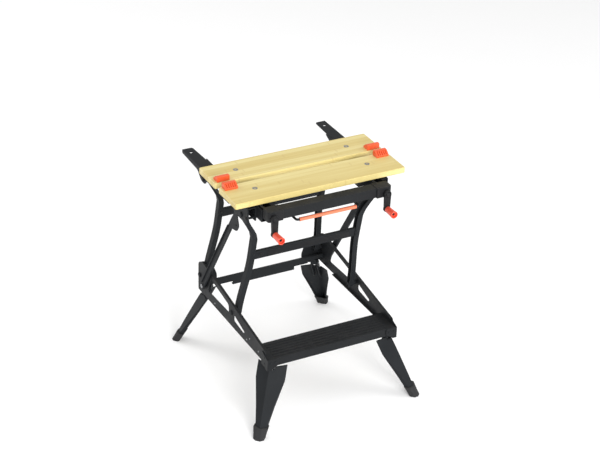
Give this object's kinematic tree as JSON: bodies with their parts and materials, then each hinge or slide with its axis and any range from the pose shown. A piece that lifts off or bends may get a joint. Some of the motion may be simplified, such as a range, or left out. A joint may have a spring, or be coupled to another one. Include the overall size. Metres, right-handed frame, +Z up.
{
  "type": "folding workbench",
  "caption": "Folding workbench: split clamping worktop with swivel pegs and crank screws, bowed folding struts, ribbed step and fold-out splayed legs.",
  "frame": {"origin": "on the floor, midway between the four feet", "axes": "+X to the right of a person at the crank side, +Y to the rear, +Z up"},
  "size_m": [0.6228, 0.6968, 0.8043],
  "materials": {
    "black_paint": "satin black powder coat",
    "grey_paint": "satin charcoal powder coat",
    "plated_steel": "zinc plated",
    "bamboo": "pale laminated bamboo, clear satin",
    "orange_plastic": "moulded, satin",
    "red_plastic": "moulded, soft sheen",
    "salmon_plastic": "soft sleeve",
    "dark_plastic": "moulded black",
    "foot_rubber": "matte"
  },
  "bodies": {
    "base": {"base_arm_left": "grey_paint", "base_arm_right": "grey_paint", "step_tread": "grey_paint", "rear_cross_member": "black_paint", "front_bracket_left": "grey_paint", "front_bracket_right": "grey_paint", "rear_bracket_left": "black_paint", "rear_bracket_right": "black_paint", "rear_base_pin_left": "black_paint", "rear_base_pin_right": "black_paint", "front_base_pin_left": "black_paint", "front_base_pin_right": "black_paint", "front_leg_pin_left": "plated_steel", "front_leg_pin_right": "plated_steel", "rear_leg_pin_left": "plated_steel", "rear_leg_pin_right": "plated_steel"},
    "rear_frame": {"rear_strut_left": "black_paint", "rear_strut_right": "black_paint", "rear_cross_plate": "black_paint"},
    "front_frame": {"front_strut_left": "black_paint", "front_strut_right": "black_paint", "front_cross_plate": "black_paint"},
    "lock_left": {"lock_strut_left": "black_paint"},
    "lock_right": {"lock_strut_right": "black_paint"},
    "top": {"rear_jaw": "bamboo", "vise_channel_left": "black_paint", "vise_channel_right": "black_paint", "side_arm_left": "black_paint", "side_arm_right": "black_paint", "front_beam": "grey_paint", "beam_end_cap_left": "dark_plastic", "beam_end_cap_right": "dark_plastic", "rear_top_pin_left": "black_paint", "rear_top_pin_right": "black_paint", "front_top_pin_left": "black_paint", "front_top_pin_right": "black_paint"},
    "front_jaw_carriage": {"front_jaw": "bamboo", "saddle_left": "dark_plastic", "saddle_right": "dark_plastic"},
    "bail": {"release_bail": "black_paint", "bail_grip": "salmon_plastic"},
    "crank_left": {"lead_screw_left": "plated_steel", "crank_arm_left": "dark_plastic"},
    "grip_left": {"crank_grip_left": "red_plastic"},
    "crank_right": {"lead_screw_right": "plated_steel", "crank_arm_right": "dark_plastic"},
    "grip_right": {"crank_grip_right": "red_plastic"},
    "front_leg_left": {"front_leg_left": "black_paint", "front_foot_left": "foot_rubber"},
    "front_peg_left": {"front_peg_left": "orange_plastic"},
    "front_leg_right": {"front_leg_right": "black_paint", "front_foot_right": "foot_rubber"},
    "front_peg_right": {"front_peg_right": "orange_plastic"},
    "rear_leg_left": {"rear_leg_left": "black_paint", "rear_foot_left": "foot_rubber"},
    "rear_peg_left": {"rear_peg_left": "orange_plastic"},
    "rear_leg_right": {"rear_leg_right": "black_paint", "rear_foot_right": "foot_rubber"},
    "rear_peg_right": {"rear_peg_right": "orange_plastic"}
  },
  "joints": [
    {"name": "fold", "type": "hinge", "parent": "base", "child": "rear_frame", "pos_m": [0, 0.254, 0.29], "axis": [1, 0, 0], "range_deg": [0, 71]},
    {"name": "front_frame_fold", "type": "hinge", "parent": "base", "child": "front_frame", "pos_m": [0, 0, 0.28], "axis": [1, 0, 0], "range_deg": [0, 71]},
    {"name": "top_level", "type": "hinge", "parent": "rear_frame", "child": "top", "pos_m": [0, 0.154, 0.718], "axis": [1, 0, 0], "range_deg": [-71, 0]},
    {"name": "lock_left_swing", "type": "hinge", "parent": "base", "child": "lock_left", "pos_m": [0, 0.216, 0.268], "axis": [1, 0, 0], "range_deg": [0, 55.4]},
    {"name": "lock_right_swing", "type": "hinge", "parent": "base", "child": "lock_right", "pos_m": [0, 0.216, 0.268], "axis": [1, 0, 0], "range_deg": [0, 55.4]},
    {"name": "bail_lift", "type": "hinge", "parent": "top", "child": "bail", "pos_m": [0, -0.135, 0.708], "axis": [-1, 0, 0], "range_deg": [0, 8]},
    {"name": "crank_left_turn", "type": "hinge", "parent": "top", "child": "crank_left", "pos_m": [-0.202, -0.233, 0.742], "axis": [0, 1, 0], "range_deg": [-3000, 1440]},
    {"name": "crank_right_turn", "type": "hinge", "parent": "top", "child": "crank_right", "pos_m": [0.202, -0.233, 0.742], "axis": [0, 1, 0], "range_deg": [-3000, 1440]},
    {"name": "jaw_slide", "type": "slide", "parent": "top", "child": "front_jaw_carriage", "axis": [0, 1, 0], "range_m": [-0.0501, 0.0241]},
    {"name": "grip_left_spin", "type": "hinge", "parent": "crank_left", "child": "grip_left", "pos_m": [-0.202, -0.26, 0.69], "axis": [0, 1, 0], "continuous": true},
    {"name": "grip_right_spin", "type": "hinge", "parent": "crank_right", "child": "grip_right", "pos_m": [0.202, -0.26, 0.69], "axis": [0, 1, 0], "continuous": true},
    {"name": "front_leg_left_fold", "type": "hinge", "parent": "base", "child": "front_leg_left", "pos_m": [-0.206, -0.243, 0.238], "axis": [0.7071, -0.7071, 0], "range_deg": [0, 100]},
    {"name": "front_leg_right_fold", "type": "hinge", "parent": "base", "child": "front_leg_right", "pos_m": [0.206, -0.243, 0.238], "axis": [0.7071, 0.7071, 0], "range_deg": [0, 100]},
    {"name": "rear_leg_left_fold", "type": "hinge", "parent": "base", "child": "rear_leg_left", "pos_m": [-0.206, 0.243, 0.238], "axis": [-0.7071, -0.7071, 0], "range_deg": [0, 100]},
    {"name": "rear_leg_right_fold", "type": "hinge", "parent": "base", "child": "rear_leg_right", "pos_m": [0.206, 0.243, 0.238], "axis": [-0.7071, 0.7071, 0], "range_deg": [0, 100]},
    {"name": "front_peg_left_swivel", "type": "hinge", "parent": "front_jaw_carriage", "child": "front_peg_left", "pos_m": [-0.274, -0.058, 0.786], "axis": [0, 0, 1], "range_deg": [-12, 12]},
    {"name": "front_peg_right_swivel", "type": "hinge", "parent": "front_jaw_carriage", "child": "front_peg_right", "pos_m": [0.274, -0.058, 0.786], "axis": [0, 0, 1], "range_deg": [-12, 12]},
    {"name": "rear_peg_left_swivel", "type": "hinge", "parent": "top", "child": "rear_peg_left", "pos_m": [-0.274, 0.004, 0.786], "axis": [0, 0, 1], "range_deg": [-12, 12]},
    {"name": "rear_peg_right_swivel", "type": "hinge", "parent": "top", "child": "rear_peg_right", "pos_m": [0.274, 0.004, 0.786], "axis": [0, 0, 1], "range_deg": [-12, 12]}
  ],
  "couplings": [
    {"joint": "front_frame_fold", "follows": "fold", "ratio": 1},
    {"joint": "top_level", "follows": "fold", "ratio": -1},
    {"joint": "lock_left_swing", "follows": "fold", "ratio": 0.78},
    {"joint": "lock_right_swing", "follows": "fold", "ratio": 0.78},
    {"joint": "crank_right_turn", "follows": "crank_left_turn", "ratio": 1},
    {"joint": "jaw_slide", "follows": "crank_left_turn", "m_per_rad": 0.00095493}
  ]
}
